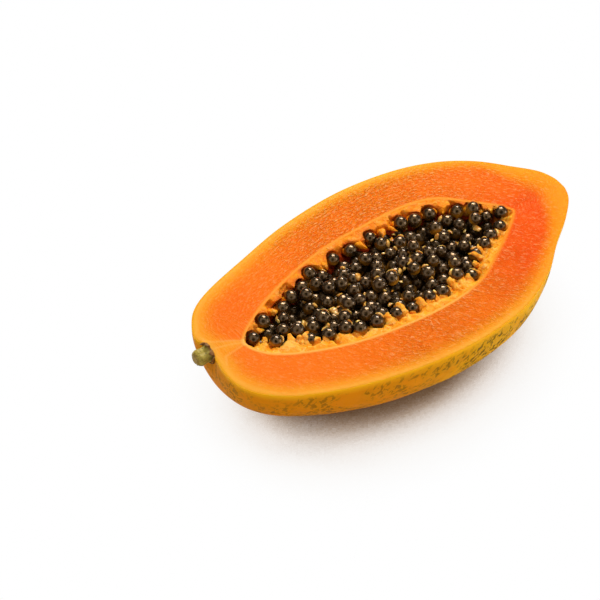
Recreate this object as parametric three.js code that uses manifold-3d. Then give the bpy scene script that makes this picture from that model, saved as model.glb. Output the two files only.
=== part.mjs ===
// Half a ripe papaya, cut lengthwise and lying on its rounded back with the cut face level.
// The half fruit (skin, flesh and the tufted lining of its cavity) grew as one piece. The seeds fill the
// cavity as one clinging mass, and the short stub of the fruit stalk stays in the hollow of the stem end.
// Frame: X runs from the stem end (-X) to the blossom end (+X), Z is up, and the origin is the middle of
// the small flat spot that the half rests on. The fruit's own axis lies in the cut face, above the X axis.

import * as THREE from "three";
import { mergeVertices } from "three/addons/utils/BufferGeometryUtils.js";
import Module from "manifold-3d";

const wasm = await Module();
wasm.setup();

// ---- Driving dimensions, in millimetres ----

// Edge of the cut face: stations from the stem end to the blossom end, as [x, y of the far edge, y of the
// near edge]. The stalk's hollow is the pole at the stem end.
const FACE_OUTLINE = [
  [-103.8, 5.5, 5.5],
  [-104.8, 10.5, -1],
  [-106, 15.5, -11],
  [-104.2, 21.5, -22],
  [-97, 31, -32.5],
  [-84, 38.2, -42],
  [-60, 45.8, -52],
  [-30, 54, -59.3],
  [5, 58, -62],
  [37, 55.2, -57.6],
  [61, 47.8, -46],
  [79, 36.6, -31.2],
  [92.5, 22.8, -21.2],
  [101.5, 12.6, -12.4],
  [105, 4.5, -5.5],
  [105.5, -0.8, -0.8],
];
// Rim of the seed cavity in the cut face, in the same form.
const RIM_OUTLINE = [
  [-87.6, 0, 0],
  [-86, 2.8, -5.6],
  [-79, 8, -13.8],
  [-65, 15.8, -21.6],
  [-44, 23.6, -29],
  [-19, 29.2, -33.4],
  [8, 30.6, -34.5],
  [30, 30.3, -31],
  [46, 25.4, -22.4],
  [59, 13.4, -14],
  [69, 3.2, -6.6],
  [72.8, -2.6, -2.6],
];
// Half of a section across the cavity, from its rim to its floor, as [share of half-width, share of depth]:
// a sloping shelf of pulp under the rim, then the wall, then the floor.
const LINING_SECTION = [
  [1, 0],
  [0.95, 0.035],
  [0.86, 0.14],
  [0.77, 0.36],
  [0.6, 0.68],
  [0.32, 0.93],
  [0, 1],
];
const BODY_DEPTH_SHARE = 0.985; // depth of the half below its cut face, against its mean half-width
const CAVITY_DEPTH_SHARE = 0.82; // the same for the cavity
const LOBES = 5; // faint ridges along the fruit, one for each carpel
const LOBE_HEIGHT_SHARE = 0.008;
const FLAT_DEPTH = 0.6; // how far the small flat spot is pressed into the rounded back
const FLAT_CENTRE = [5, -2]; // of the flat spot under the cut face, where the back is lowest

const SEED_RADIUS = 3.5;
const SEED_RADIUS_SPREAD = 0.25;
const SEED_LENGTH_SHARE = 1.08; // a seed is a little longer than it is wide
const SEED_PITCH = 7.3; // spacing of the seeds before they are shaken apart
const SEED_JITTER = 2.2;
const SEED_RISE = 1.2; // of the highest seeds above the heap's height
const SEED_FALL = 3.4; // of the lowest ones below it
const SEED_TOUCH_SHARE = 1; // of their summed radii that neighbours keep apart
const EDGE_SEEDS = [
  [-81.7, 1.7],
  [-74.1, -6.5],
  [-58.3, -13.4],
  [-49.8, -16.1],
  [-41.4, -17.8],
  [-35.4, -21.8],
  [-26.6, -23.4],
  [-15, -23.5],
  [-5.8, -24.5],
  [5, -23.3],
  [12.2, -24.4],
  [24.3, -20.4],
  [30.9, -23.5],
  [41.8, -12.8],
  [48.8, -11.1],
  [55.3, -7.6],
  [62.6, -5.6],
  [68.6, 1.2],
  [61.9, 4.5],
  [57.6, 10.6],
  [50.9, 14.9],
  [38.1, 21.6],
  [29, 21.5],
  [22, 23.9],
  [3.2, 24.3],
  [-9.7, 23.1],
  [-20.3, 23.1],
  [-36, 20.7],
  [-43.5, 16.7],
  [-51.6, 14],
  [-58.5, 11.3],
  [-72.1, 7.5],
]; // seeds held by the pulp round the edge of the heap, as [x, y]
const INNER_INSET_FAR = 8.5; // from the cavity's rim to the nearest centres of the other seeds
const INNER_INSET_NEAR = 13;
const INNER_INSET_TIPS = 10;
const SEEDS_LOST = 0.12; // share of the other seeds that have dropped out
const SETTLING_STEPS = 40;
const HEAP_HEIGHT = -3.2; // of the seed centres against the cut face
const HEAP_CROWN = [-5, 0, 45, 14, 2]; // low rise of its middle, as [x, y, length, width, height]
const HEAP_RELIEF = 1.2;
const HEAP_HOLLOWS = [
  [35, -7, 10, 3.4],
  [-53, 3, 9, 2.6],
]; // where seeds are missing, as [x, y, radius, depth]
const CORE_INSET = 1.5; // from the cavity's lining to the packed seeds
const CORE_DROP = 1.6; // from the heap's height down to the top of the packed seeds
const SEAT_GAP = 0.3; // between pieces that touch

const TUFT_COUNT = 44; // strands of pulp that held the seeds, along both sides of the cavity
const TUFT_LENGTH = 5.4;
const TUFT_RADIUS = 1.3;

const STALK_RADIUS = 4.2;
const STALK_LENGTH = 8;
const STALK_DROP = 1.6; // of the stalk's centre below the cut face
const STALK_SINK = 0.4; // from the hollow's deepest point to the stalk's foot
const STALK_RIDGES = 5;

// ---- Faceting ----
const BODY_STEPS = 40;
const BODY_SIDES = 24;
const CAVITY_STEPS = 34;
const CAVITY_SIDES = 14;
const CORE_STEPS = 24;
const CORE_SIDES = 8;
const SEED_SIDES = 7;
const SEED_BANDS = 4;
const TUFT_SIDES = 4;
const STALK_SIDES = 20;
const FIRST_RING = 0.25; // in stations, where a loft starts and ends short of its pole

// ---- Colours ----
const FLESH_COLOUR = 0xf9701f;
const SEED_COLOUR = 0x1c1512;
const STALK_COLOUR = 0x85803a;

// ---- Curves ----

// A smooth value at t, in stations, through a list of values (Catmull-Rom).
function smoothThrough(values, t) {
  const last = values.length - 1;
  const k = Math.min(Math.floor(t), last - 1);
  const u = t - k;
  const p1 = values[k];
  const p2 = values[k + 1];
  const p0 = k > 0 ? values[k - 1] : 2 * p1 - p2;
  const p3 = k + 2 <= last ? values[k + 2] : 2 * p2 - p1;
  const a = p2 - p0;
  const b = 2 * p0 - 5 * p1 + 4 * p2 - p3;
  const c = 3 * p1 - p0 - 3 * p2 + p3;
  return 0.5 * (2 * p1 + a * u + b * u * u + c * u * u * u);
}

// [x, y of the far edge, y of the near edge] at t, in stations, along an outline.
function outlineAt(outline, t) {
  return [0, 1, 2].map((i) => smoothThrough(outline.map((s) => s[i]), t));
}

// Both edges of an outline at a given x, read from its finely stepped stations.
function edgesAtX(samples, x) {
  let k = 0;
  while (k < samples.length - 2 && samples[k + 1][0] < x) k += 1;
  const [a, b] = [samples[k], samples[k + 1]];
  const u = Math.min(Math.max((x - a[0]) / (b[0] - a[0]), 0), 1);
  return [a[1] + (b[1] - a[1]) * u, a[2] + (b[2] - a[2]) * u];
}

// A repeatable number from 0 to 1 for each whole number n.
function random(n) {
  const s = Math.sin(n * 12.9898 + 78.233) * 43758.5453;
  return s - Math.floor(s);
}

// ---- Solids ----

// A closed mesh through rings of points, each ring a loop, with a flat fan over each end.
function loft(rings) {
  const count = rings[0].length;
  const centre = (ring) =>
    ring.reduce((sum, p) => sum.add(p), new THREE.Vector3()).divideScalar(ring.length);
  const points = [...rings.flat(), centre(rings[0]), centre(rings[rings.length - 1])];
  const firstCentre = points.length - 2;
  const lastCentre = points.length - 1;
  const lastRing = (rings.length - 1) * count;
  const faces = [];
  for (let i = 0; i < count; i += 1) {
    const next = (i + 1) % count;
    faces.push(firstCentre, next, i);
    faces.push(lastCentre, lastRing + i, lastRing + next);
    for (let r = 0; r < rings.length - 1; r += 1) {
      const a = r * count + i;
      const b = r * count + next;
      faces.push(a, b, a + count, b, b + count, a + count);
    }
  }
  const geometry = new THREE.BufferGeometry().setFromPoints(points);
  geometry.setIndex(faces);
  return geometry;
}

function toSolid(geometry) {
  const bare = geometry.clone();
  bare.deleteAttribute("normal");
  bare.deleteAttribute("uv");
  const merged = mergeVertices(bare, 1e-4);
  const solid = new wasm.Manifold(
    new wasm.Mesh({
      numProp: 3,
      vertProperties: merged.attributes.position.array,
      triVerts: new Uint32Array(merged.index.array),
    }),
  );
  if (solid.volume() > 0) return solid;
  const turned = merged.index.array.slice().reverse();
  return new wasm.Manifold(
    new wasm.Mesh({
      numProp: 3,
      vertProperties: merged.attributes.position.array,
      triVerts: new Uint32Array(turned),
    }),
  );
}

function toGeometry(solid) {
  const mesh = solid.getMesh();
  const geometry = new THREE.BufferGeometry();
  geometry.setAttribute("position", new THREE.BufferAttribute(mesh.vertProperties, 3));
  geometry.setIndex(new THREE.BufferAttribute(mesh.triVerts, 1));
  const flat = geometry.toNonIndexed();
  flat.computeVertexNormals();
  return flat;
}

// The largest body of a solid, without the loose scraps that a cut can leave.
function largestBody(solid) {
  return solid.decompose().reduce((a, b) => (b.volume() > a.volume() ? b : a));
}

// ---- The half fruit ----

// Ring of the half body at t: from the far edge under the fruit to the near edge, closed by the cut face.
function bodyRing(t) {
  const [x, far, near] = outlineAt(FACE_OUTLINE, t);
  const [middle, half] = [(far + near) / 2, (far - near) / 2];
  const ring = [];
  for (let i = 0; i <= BODY_SIDES; i += 1) {
    const angle = (Math.PI * i) / BODY_SIDES;
    const lobe = 1 + LOBE_HEIGHT_SHARE * Math.cos(LOBES * (angle - Math.PI / 2));
    const down = i % BODY_SIDES === 0 ? 0 : half * BODY_DEPTH_SHARE * Math.sin(angle) * lobe;
    ring.push(new THREE.Vector3(x, middle + half * Math.cos(angle) * lobe, -down));
  }
  return ring;
}

function halfBody() {
  const last = FACE_OUTLINE.length - 1;
  const rings = [];
  for (let i = 0; i <= BODY_STEPS; i += 1)
    rings.push(bodyRing(FIRST_RING + ((last - 2 * FIRST_RING) * i) / BODY_STEPS));
  return toSolid(loft(rings));
}

// Low relief of the pulp on the cavity's wall, in millimetres, fading out at the rim.
function liningRelief(x, share) {
  const fade = Math.sin(Math.PI * Math.min(share * 2, 1) * 0.5);
  return fade * (0.5 * Math.sin(0.9 * x + 4 * share) + 0.4 * Math.sin(0.47 * x - 9 * share));
}

// Point on the cavity's lining, moved inwards by an inset: t in stations, across from 1 (far rim) through
// 0 (floor) to -1 (near rim).
function liningPoint(t, across, inset) {
  const [x, far, near] = outlineAt(RIM_OUTLINE, t);
  const [middle, half] = [(far + near) / 2, (far - near) / 2];
  const share = 1 - Math.abs(across);
  const step = share * (LINING_SECTION.length - 1);
  const wide = smoothThrough(LINING_SECTION.map((s) => s[0]), step);
  const deep = smoothThrough(LINING_SECTION.map((s) => s[1]), step);
  const less = inset + liningRelief(x, share);
  const side = half * Math.max(1 - less / half, 0.2);
  const depth = half * CAVITY_DEPTH_SHARE * Math.max(1 - less / half, 0.2);
  return new THREE.Vector3(x, middle + Math.sign(across) * side * wide, -depth * deep);
}

// The cavity as a solid, inside its lining by an inset and short of its poles by a trim in stations,
// closed by a level lid above the cut face.
function cavitySolid(inset, trim, steps, sides) {
  const last = RIM_OUTLINE.length - 1;
  const rings = [];
  for (let i = 0; i <= steps; i += 1) {
    const t = trim + ((last - 2 * trim) * i) / steps;
    const ring = [];
    for (let j = 0; j <= sides; j += 1) ring.push(liningPoint(t, 1 - (2 * j) / sides, inset));
    const [farRim, nearRim] = [ring[0], ring[sides]];
    ring.push(new THREE.Vector3(nearRim.x, nearRim.y, 8));
    ring.push(new THREE.Vector3(farRim.x, farRim.y, 8));
    rings.push(ring);
  }
  return toSolid(loft(rings));
}

// One strand of pulp: a tapered stub rooted in the lining and leaning inwards over the shelf.
function tuft(n) {
  const near = n % 2 === 0;
  const stations = RIM_OUTLINE.length - 1;
  const t = 0.9 + ((stations - 1.8) * (n + 0.7 * random(n))) / TUFT_COUNT;
  const root = liningPoint(t, (near ? -1 : 1) * (0.86 + 0.08 * random(n + 500)), 0);
  const length = TUFT_LENGTH * (0.75 + 0.5 * random(n + 900));
  const lean = new THREE.Vector3(
    1.2 * (random(n + 1300) - 0.5),
    near ? 0.9 : -0.9,
    0.3 * (random(n + 1700) - 0.5),
  ).normalize();
  const shape = new THREE.CylinderGeometry(TUFT_RADIUS * 0.45, TUFT_RADIUS, length, TUFT_SIDES, 1);
  shape.translate(0, length * 0.22, 0);
  shape.applyQuaternion(
    new THREE.Quaternion().setFromUnitVectors(new THREE.Vector3(0, 1, 0), lean),
  );
  shape.translate(root.x, root.y, root.z);
  return toSolid(shape);
}

// A block that spans the whole fruit between two heights.
function slab(low, high) {
  const shape = new THREE.BoxGeometry(400, 400, high - low);
  shape.translate(0, 0, (low + high) / 2);
  return toSolid(shape);
}

// ---- The seeds ----

// Height of the seed centres at a point of the heap: a low crown, sunken where seeds are missing.
function heapHeight(x, y) {
  let height = HEAP_HEIGHT + HEAP_RELIEF * Math.sin(0.37 * x + 0.21 * y) * Math.cos(0.29 * y - 0.12 * x);
  const [cx, cy, long, wide, rise] = HEAP_CROWN;
  height += rise * Math.exp(-(((x - cx) / long) ** 2) - ((y - cy) / wide) ** 2);
  HEAP_HOLLOWS.forEach(([hx, hy, radius, depth]) => {
    height -= depth * Math.exp(-((x - hx) ** 2 + (y - hy) ** 2) / radius ** 2);
  });
  return height;
}

// Where each seed lies: the ones the pulp holds along the edge, and a jittered honeycomb between them that
// is shaken until neighbours stop crowding.
function seedPlaces() {
  const last = RIM_OUTLINE.length - 1;
  const samples = [];
  for (let i = 0; i <= last * 8; i += 1) samples.push(outlineAt(RIM_OUTLINE, i / 8));
  const first = samples[0][0] + INNER_INSET_TIPS;
  const end = samples[last * 8][0] - INNER_INSET_TIPS;
  const room = (x) => {
    const [far, near] = edgesAtX(samples, x);
    const middle = (far + near) / 2;
    return [Math.max(far - INNER_INSET_FAR, middle), Math.min(near + INNER_INSET_NEAR, middle)];
  };
  const seedAt = (n, x, y, held) => {
    const z = heapHeight(x, y) + SEED_RISE - random(n + 10000) * (SEED_RISE + SEED_FALL) * (held ? 0.5 : 1);
    const radius = SEED_RADIUS + (random(n + 15000) - 0.5) * 2 * SEED_RADIUS_SPREAD;
    return { n, place: [x, y, z], radius, held };
  };
  const seeds = EDGE_SEEDS.map(([x, y], i) => seedAt(i + 1000, x, y, true));
  for (let row = -5; row <= 5; row += 1) {
    for (let column = -14; column <= 14; column += 1) {
      const n = (row + 5) * 40 + column + 14;
      const x = (column + 0.5 * (Math.abs(row) % 2)) * SEED_PITCH + (random(n) - 0.5) * 2 * SEED_JITTER;
      const y = row * SEED_PITCH * 0.866 + (random(n + 5000) - 0.5) * 2 * SEED_JITTER;
      const [high, low] = room(x);
      const crowded = EDGE_SEEDS.some((edge) => Math.hypot(edge[0] - x, edge[1] - y) < 0.7 * SEED_PITCH);
      const lost = random(n + 35000) < SEEDS_LOST;
      if (x > first - 2 && x < end + 2 && y < high + 1 && y > low - 1 && !crowded && !lost)
        seeds.push(seedAt(n, x, y, false));
    }
  }
  for (let step = 0; step < SETTLING_STEPS; step += 1) {
    const pushes = seeds.map(() => [0, 0, 0]);
    for (let i = 0; i < seeds.length; i += 1) {
      for (let j = i + 1; j < seeds.length; j += 1) {
        const gap = seeds[j].place.map((v, k) => v - seeds[i].place[k]);
        const distance = Math.hypot(...gap);
        const wanted = (seeds[i].radius + seeds[j].radius) * SEED_TOUCH_SHARE;
        if (distance >= wanted) continue;
        const share = (0.3 * (wanted - distance)) / distance;
        gap.forEach((v, k) => {
          pushes[i][k] -= v * share;
          pushes[j][k] += v * share;
        });
      }
    }
    seeds.forEach((seed, i) => {
      if (seed.held) return;
      const [x, y, z] = seed.place.map((v, k) => v + pushes[i][k]);
      const level = heapHeight(x, y);
      const [high, low] = room(x);
      seed.place = [
        Math.min(Math.max(x, first), end),
        Math.min(Math.max(y, low), high),
        Math.min(Math.max(z, level - SEED_FALL), level + SEED_RISE),
      ];
    });
  }
  return seeds;
}

// One faceted seed, grown on every side by the given amount.
function seedSolid(seed, grow) {
  const shape = new THREE.SphereGeometry(seed.radius + grow, SEED_SIDES, SEED_BANDS);
  shape.scale(1, SEED_LENGTH_SHARE, 1);
  shape.rotateX(Math.PI * random(seed.n + 20000));
  shape.rotateZ(Math.PI * random(seed.n + 25000));
  shape.translate(...seed.place);
  return toSolid(shape);
}

// Everything below the packed seeds' top, which follows the heap a little under the loose seeds.
function belowHeap(grow) {
  const rings = [];
  for (let i = 0; i <= CORE_STEPS; i += 1) {
    const x = -95 + (180 * i) / CORE_STEPS;
    const ring = [new THREE.Vector3(x, 40, -60), new THREE.Vector3(x, -40, -60)];
    for (let j = 0; j <= CORE_SIDES; j += 1) {
      const y = -40 + (80 * j) / CORE_SIDES;
      const top = heapHeight(x, y) - CORE_DROP + grow;
      ring.push(new THREE.Vector3(x, y, top));
    }
    rings.push(ring);
  }
  return toSolid(loft(rings));
}

function seedMass(seeds, grow) {
  const packed = cavitySolid(CORE_INSET - grow, 0.7, CORE_STEPS, CORE_SIDES).intersect(belowHeap(grow));
  const loose = wasm.Manifold.union(seeds.map((seed) => seedSolid(seed, grow)));
  return largestBody(packed.add(loose));
}

// ---- The stalk ----

// A short woody stub with faint ridges and a flared foot, pointing away from the fruit and sunk a little
// into the hollow of its stem end, grown on every side by the given amount.
function stalkStub(grow) {
  const stations = [
    [-grow, 1.16],
    [1.2, 1.02],
    [3.5, 0.92],
    [6.2, 0.98],
    [STALK_LENGTH - 0.6, 0.86],
    [STALK_LENGTH, 0.66],
  ];
  const rings = stations.map(([along, share]) => {
    const ring = [];
    for (let i = 0; i < STALK_SIDES; i += 1) {
      const angle = (2 * Math.PI * i) / STALK_SIDES;
      const radius = STALK_RADIUS * share * (1 + 0.07 * Math.cos(STALK_RIDGES * angle)) + grow;
      ring.push(new THREE.Vector3(-along, radius * Math.cos(angle), radius * Math.sin(angle)));
    }
    return ring;
  });
  return toSolid(loft(rings)).translate([
    FACE_OUTLINE[0][0] - STALK_SINK,
    FACE_OUTLINE[0][1],
    -STALK_DROP,
  ]);
}

// ---- Assembly ----

const halfWidths = FACE_OUTLINE.map(([, far, near]) => (far - near) / 2);
const backDepth = Math.max(...halfWidths) * BODY_DEPTH_SHARE * (1 + LOBE_HEIGHT_SHARE);
const FACE_HEIGHT = backDepth - FLAT_DEPTH; // of the cut face above the surface that the half rests on

const seeds = seedPlaces();
const tufts = Array.from({ length: TUFT_COUNT }, (_, n) => tuft(n));
const hollow = cavitySolid(0, 0.12, CAVITY_STEPS, CAVITY_SIDES);
const lined = halfBody().subtract(hollow).add(wasm.Manifold.union(tufts));
const fruit = largestBody(
  lined
    .subtract(seedMass(seeds, SEAT_GAP))
    .subtract(stalkStub(SEAT_GAP))
    .subtract(slab(0, 40))
    .subtract(slab(-200, -FACE_HEIGHT)),
);

function piece(name, solid, colour, roughness) {
  const material = new THREE.MeshStandardMaterial({ color: colour, roughness, metalness: 0 });
  const mesh = new THREE.Mesh(toGeometry(solid), material);
  mesh.name = name;
  return mesh;
}

const papaya = new THREE.Group();
papaya.add(piece("half_fruit", fruit, FLESH_COLOUR, 0.5));
papaya.add(piece("seed_mass", seedMass(seeds, 0), SEED_COLOUR, 0.15));
papaya.add(piece("stalk_stub", stalkStub(0), STALK_COLOUR, 0.75));
papaya.position.set(-FLAT_CENTRE[0], -FLAT_CENTRE[1], FACE_HEIGHT);

export default papaya;
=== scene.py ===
"""Half a ripe papaya, cut lengthwise and lying on its rounded back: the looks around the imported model.

Shapes are worked out in millimetres in the frame of the cut face, with X along the fruit and the cut face
at z = 0, and moved into the model's own frame, in metres, when a mesh is made.
"""
import math

import bmesh
import bpy
import numpy as np
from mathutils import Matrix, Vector


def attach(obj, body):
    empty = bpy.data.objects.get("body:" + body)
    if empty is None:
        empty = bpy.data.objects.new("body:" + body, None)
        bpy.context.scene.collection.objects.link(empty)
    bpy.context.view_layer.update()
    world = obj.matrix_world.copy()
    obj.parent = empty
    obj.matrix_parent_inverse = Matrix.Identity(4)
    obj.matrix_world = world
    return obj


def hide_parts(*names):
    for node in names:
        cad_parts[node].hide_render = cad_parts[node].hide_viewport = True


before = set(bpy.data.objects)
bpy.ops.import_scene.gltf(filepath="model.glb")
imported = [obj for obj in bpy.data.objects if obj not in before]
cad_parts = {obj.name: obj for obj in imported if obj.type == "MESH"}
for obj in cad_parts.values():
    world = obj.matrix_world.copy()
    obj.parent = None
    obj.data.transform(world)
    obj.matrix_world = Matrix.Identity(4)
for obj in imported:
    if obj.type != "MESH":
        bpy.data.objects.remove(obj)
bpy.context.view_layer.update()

# ---- The fruit's own measures, in millimetres ----

# Edge of the cut face from the stem end to the blossom end: x, y of the far edge, y of the near edge.
FACE_OUTLINE = np.array([
    [-103.8, 5.5, 5.5], [-104.8, 10.5, -1], [-106, 15.5, -11], [-104.2, 21.5, -22],
    [-97, 31, -32.5], [-84, 38.2, -42], [-60, 45.8, -52], [-30, 54, -59.3],
    [5, 58, -62], [37, 55.2, -57.6], [61, 47.8, -46], [79, 36.6, -31.2],
    [92.5, 22.8, -21.2], [101.5, 12.6, -12.4], [105, 4.5, -5.5], [105.5, -0.8, -0.8],
])
# Rim of the seed cavity, in the same form.
RIM_OUTLINE = np.array([
    [-87.6, 0, 0], [-86, 2.8, -5.6], [-79, 8, -13.8], [-65, 15.8, -21.6],
    [-44, 23.6, -29], [-19, 29.2, -33.4], [8, 30.6, -34.5], [30, 30.3, -31],
    [46, 25.4, -22.4], [59, 13.4, -14], [69, 3.2, -6.6], [72.8, -2.6, -2.6],
])
# Half a section across the cavity, from rim to floor: share of half-width, share of depth.
LINING_SECTION = np.array([
    [1, 0], [0.95, 0.035], [0.86, 0.14], [0.77, 0.36], [0.6, 0.68], [0.32, 0.93], [0, 1],
])
BODY_DEPTH_SHARE = 0.985
CAVITY_DEPTH_SHARE = 0.82
LOBES = 5
LOBE_HEIGHT_SHARE = 0.008
FLAT_DEPTH = 0.6
FLAT_CENTRE = np.array([5.0, -2.0])
WIDEST_HALF = float(np.max(FACE_OUTLINE[:, 1] - FACE_OUTLINE[:, 2])) / 2
FACE_HEIGHT = WIDEST_HALF * BODY_DEPTH_SHARE * (1 + LOBE_HEIGHT_SHARE) - FLAT_DEPTH

SEED_RADIUS = 3.5
SEED_RADIUS_SPREAD = 0.25
SEED_LENGTH_SHARE = 1.08
SEED_PITCH = 7.3
SEED_JITTER = 2.2
SEED_RISE = 1.2
SEED_FALL = 3.4
# Centres of the seeds that the pulp holds along the edge of the heap, all the way round: x, y.
EDGE_SEEDS = np.array([
    [-81.7, 1.7], [-74.1, -6.5], [-58.3, -13.4], [-49.8, -16.1], [-41.4, -17.8], [-35.4, -21.8],
    [-26.6, -23.4], [-15, -23.5], [-5.8, -24.5], [5, -23.3], [12.2, -24.4], [24.3, -20.4],
    [30.9, -23.5], [41.8, -12.8], [48.8, -11.1], [55.3, -7.6], [62.6, -5.6], [68.6, 1.2],
    [61.9, 4.5], [57.6, 10.6], [50.9, 14.9], [38.1, 21.6], [29, 21.5], [22, 23.9], [3.2, 24.3],
    [-9.7, 23.1], [-20.3, 23.1], [-36, 20.7], [-43.5, 16.7], [-51.6, 14], [-58.5, 11.3], [-72.1, 7.5],
])
# How far inside the rim the other seeds' centres stay.
INNER_INSET_FAR = 8.5
INNER_INSET_NEAR = 13
INNER_INSET_TIPS = 10
# The honeycomb of the other seeds, in rows and columns to each side of the middle.
COMB_ROWS = 5
COMB_COLUMNS = 14
ROW_PITCH_SHARE = 0.866
SEEDS_LOST = 0.12
SETTLING_STEPS = 40
SETTLING_SHARE = 0.3
# The heap's crown is x, y, reach along, reach across and rise, and its hollows x, y, radius and depth.
HEAP_HEIGHT = -3.2
HEAP_CROWN = (-5, 0, 45, 14, 2)
HEAP_RELIEF = 1.2
HEAP_HOLLOWS = ((35, -7, 10, 3.4), (-53, 3, 9, 2.6))


# ---- Curves and noise ----

def smooth_through(rows, t):
    """Catmull-Rom values at t, in stations, through the rows of an array."""
    last = len(rows) - 1
    k = np.minimum(np.floor(t).astype(int), last - 1)
    u = (t - k)[..., None]
    p1, p2 = rows[k], rows[k + 1]
    p0 = np.where((k > 0)[..., None], rows[np.maximum(k - 1, 0)], 2 * p1 - p2)
    p3 = np.where((k + 2 <= last)[..., None], rows[np.minimum(k + 2, last)], 2 * p2 - p1)
    a, b, c = p2 - p0, 2 * p0 - 5 * p1 + 4 * p2 - p3, 3 * p1 - p0 - 3 * p2 + p3
    return 0.5 * (2 * p1 + a * u + b * u * u + c * u * u * u)


def repeatable(n):
    """A repeatable number from 0 to 1 for each whole number n. Each use adds a number of its own to n."""
    s = np.sin(np.asarray(n, float) * 12.9898 + 78.233) * 43758.5453
    return s - np.floor(s)


def jitter(n, amount):
    """A repeatable number from -amount to amount for each whole number n."""
    return (repeatable(n) - 0.5) * 2 * amount


def lattice_value(cell, seed):
    """A random value from -1 to 1 for each whole-numbered cell, mixed from its three indices."""
    i = cell.astype(np.int64)
    n = (i[..., 0] * 73856093) ^ (i[..., 1] * 19349663) ^ (i[..., 2] * 83492791) ^ (seed * 2654435761)
    n = (n ^ (n >> 13)) * 1274126177
    n = n ^ (n >> 16)
    return (n & 0xFFFFFF) / 0x7FFFFF - 1.0


def noise(points, cell, octaves=1, seed=0):
    """Smooth noise from about -1 to 1: lattice values blended along each axis, halved for each octave."""
    total, weight = np.zeros(points.shape[:-1]), 0.0
    for octave in range(octaves):
        p = points / cell * 2.0 ** octave + 17.3 * octave
        base = np.floor(p)
        f = p - base
        f = f * f * (3 - 2 * f)
        value = 0.0
        for corner in range(8):
            bits = np.array([corner & 1, corner >> 1 & 1, corner >> 2 & 1])
            blend = np.prod(np.where(bits, f, 1 - f), axis=-1)
            value = value + blend * lattice_value(base + bits, seed + octave)
        total += value * 0.5 ** octave
        weight += 0.5 ** octave
    return total / weight


def unit(vectors):
    """The same directions, with a length of 1."""
    return vectors / np.maximum(np.linalg.norm(vectors, axis=-1, keepdims=True), 1e-9)


def nearest_on_path(points, path):
    """Distance in the plane from each point to a path of straight steps, and how far along the path its
    nearest place is."""
    nearest, station, travelled = np.full(len(points), 1e9), np.zeros(len(points)), 0.0
    for a, b in zip(path[:-1], path[1:]):
        along = np.subtract(b, a)
        share = np.clip((points - a) @ along / max(along @ along, 1e-9), 0, 1)
        distance = np.linalg.norm(points - a - share[:, None] * along, axis=1)
        station = np.where(distance < nearest, travelled + share * np.linalg.norm(along), station)
        nearest = np.minimum(nearest, distance)
        travelled += np.linalg.norm(along)
    return nearest, station


def distance_to_path(points, path):
    """Distance in the plane from each point to a path."""
    return nearest_on_path(points, path)[0]


def soft_step(x, low, high):
    """A smooth step in x, 0 up to low and 1 from high on."""
    s = np.clip((x - low) / (high - low), 0, 1)
    return s * s * (3 - 2 * s)


def bell(x, width):
    """A bell curve, 1 at x = 0 and down to 1/e at width on either side."""
    return np.exp(-(x / width) ** 2)


# ---- Meshes ----

def to_model(points):
    """Millimetres in the frame of the cut face to metres in the model's frame."""
    shift = np.array([-FLAT_CENTRE[0], -FLAT_CENTRE[1], FACE_HEIGHT])
    return (points + shift) * 0.001


def grid_quads(rows, columns, loop=False):
    """Quads between the points of a grid laid out row by row. A loop joins the last column to the first."""
    i = np.arange(rows - 1)[:, None] * columns
    j = np.arange(columns if loop else columns - 1)[None, :]
    k = (j + 1) % columns
    return np.stack([i + j, i + k, i + columns + k, i + columns + j], axis=-1).reshape(-1, 4)


def joined(points, faces):
    """Copies of a shape as one. points is (copies, points of each, 3), and faces are those of one copy."""
    shift = np.arange(len(points)) * points.shape[1]
    return points.reshape(-1, 3), (faces[None] + shift[:, None, None]).reshape(-1, faces.shape[1])


def make_piece(name, points, faces, materials, slot, attributes=None, region=0):
    """A smooth mesh object from points in millimetres and faces, where a corner that comes twice counts
    once. region picks each face's material."""
    mesh = bpy.data.meshes.new(name)
    mesh.from_pydata(to_model(points), [], [list(dict.fromkeys(face)) for face in faces.tolist()])
    mesh.shade_smooth()
    mesh.polygons.foreach_set("material_index", np.broadcast_to(region, len(faces)).astype(np.int32))
    for key, values in (attributes or {}).items():
        mesh.attributes.new(key, "FLOAT", "POINT").data.foreach_set("value", values.astype(np.float32))
    for material in materials:
        mesh.materials.append(material)
    piece = bpy.data.objects.new(name, mesh)
    bpy.context.collection.objects.link(piece)
    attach(piece, "root")
    return piece


def weld(patches):
    """Patches of (points, quads, material) as one, with points at the same place shared and quads that come
    to a line there dropped. The last thing returned is which of the patches' points were kept."""
    points = np.concatenate([p for p, _, _ in patches])
    offsets = np.cumsum([0] + [len(p) for p, _, _ in patches])
    quads = np.concatenate([q + o for (_, q, _), o in zip(patches, offsets)])
    region = np.concatenate([np.full(len(q), r) for _, q, r in patches])
    _, first, shared = np.unique(np.round(points, 4), axis=0, return_index=True, return_inverse=True)
    quads = shared.ravel()[quads]
    solid = np.array([len(set(quad)) > 2 for quad in quads.tolist()])
    return points[first], quads[solid], region[solid], first


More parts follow.
